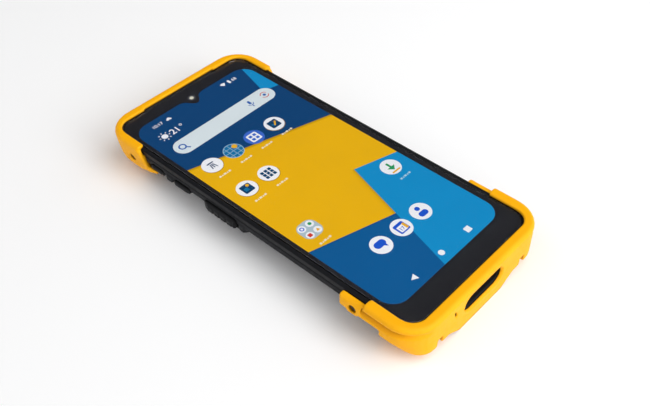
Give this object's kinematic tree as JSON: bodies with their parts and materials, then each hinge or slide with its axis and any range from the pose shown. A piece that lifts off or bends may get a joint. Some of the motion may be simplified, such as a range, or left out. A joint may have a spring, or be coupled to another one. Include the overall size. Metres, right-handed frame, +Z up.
{
  "type": "data collector",
  "caption": "Rugged handheld touch-screen data collector: slim dark body, full-face display, side keys and bright corner bumpers that stand above the glass at both ends.",
  "frame": {"origin": "centre of the footprint, on the surface that the back rests on", "axes": "+Z up out of the screen, +Y towards the earpiece and front camera, +X to the right of the screen"},
  "size_m": [0.0828, 0.1722, 0.019],
  "materials": {
    "yellow_bumper": "satin moulded plastic with soft round edges",
    "black_housing": "fine moulded grain, matt",
    "black_frame": "satin black",
    "black_rubber": "soft matt rubber",
    "key_rubber": "matt rubber",
    "cover_glass": "polished, dark border behind it",
    "display": "lit picture under the glass",
    "lens": "polished dark lens",
    "flash_plastic": "clear diffuser",
    "steel": "plain steel",
    "steel_mesh": "blackened steel mesh",
    "shield_metal": "tinned sheet",
    "circuit_board": "green solder mask",
    "battery_wrap": "grey printed film",
    "ceramic": "fired ceramic",
    "polyimide": "amber film",
    "copper": "rolled copper sheet"
  },
  "bodies": {
    "body": {"cover_glass": "cover_glass", "glass_seal": "black_rubber", "display_panel": "display", "front_camera": "lens", "middle_frame": "black_frame", "earpiece_mesh": "steel_mesh", "housing_gasket": "black_rubber", "rear_housing": "black_housing", "bottom_bumper": "yellow_bumper", "top_bumper": "yellow_bumper", "bumper_screw_top_left": "steel", "bumper_screw_top_right": "steel", "bumper_screw_bottom_left": "steel", "bumper_screw_bottom_right": "steel", "housing_screw_left_top": "steel", "housing_screw_left_middle": "steel", "housing_screw_left_bottom": "steel", "housing_screw_right_top": "steel", "housing_screw_right_middle": "steel", "housing_screw_right_bottom": "steel", "card_reader": "shield_metal", "camera_window": "cover_glass", "flash_lens": "flash_plastic", "rear_camera": "lens", "loudspeaker": "black_rubber", "vibration_motor": "steel", "earpiece_receiver": "black_rubber", "main_board": "circuit_board", "connector_board": "circuit_board", "processor_shield": "shield_metal", "radio_shield": "shield_metal", "microphone": "shield_metal", "battery_pack": "battery_wrap", "usb_connector": "shield_metal", "gnss_antenna": "ceramic", "board_ribbon": "polyimide", "heat_spreader": "copper", "left_switch_board": "circuit_board", "right_switch_board": "circuit_board"},
    "volume_up_key": {"volume_up_key": "key_rubber"},
    "volume_down_key": {"volume_down_key": "key_rubber"},
    "left_function_key": {"left_function_key": "key_rubber"},
    "power_key": {"power_key": "key_rubber"},
    "right_function_key": {"right_function_key": "key_rubber"},
    "card_tray": {"card_tray": "black_frame"}
  },
  "joints": [
    {"name": "volume_up_key_press", "type": "slide", "parent": "body", "child": "volume_up_key", "axis": [1, 0, 0], "range_m": [0, 0.0004], "stiffness_N_per_m": 4000, "springref_m": -0.0001},
    {"name": "volume_down_key_press", "type": "slide", "parent": "body", "child": "volume_down_key", "axis": [1, 0, 0], "range_m": [0, 0.0004], "stiffness_N_per_m": 4000, "springref_m": -0.0001},
    {"name": "left_function_key_press", "type": "slide", "parent": "body", "child": "left_function_key", "axis": [1, 0, 0], "range_m": [0, 0.0004], "stiffness_N_per_m": 4000, "springref_m": -0.0001},
    {"name": "power_key_press", "type": "slide", "parent": "body", "child": "power_key", "axis": [-1, 0, 0], "range_m": [0, 0.0004], "stiffness_N_per_m": 4000, "springref_m": -0.0001},
    {"name": "right_function_key_press", "type": "slide", "parent": "body", "child": "right_function_key", "axis": [-1, 0, 0], "range_m": [0, 0.0004], "stiffness_N_per_m": 4000, "springref_m": -0.0001},
    {"name": "card_tray_slide", "type": "slide", "parent": "body", "child": "card_tray", "axis": [1, 0, 0], "range_m": [0, 0.022]}
  ]
}
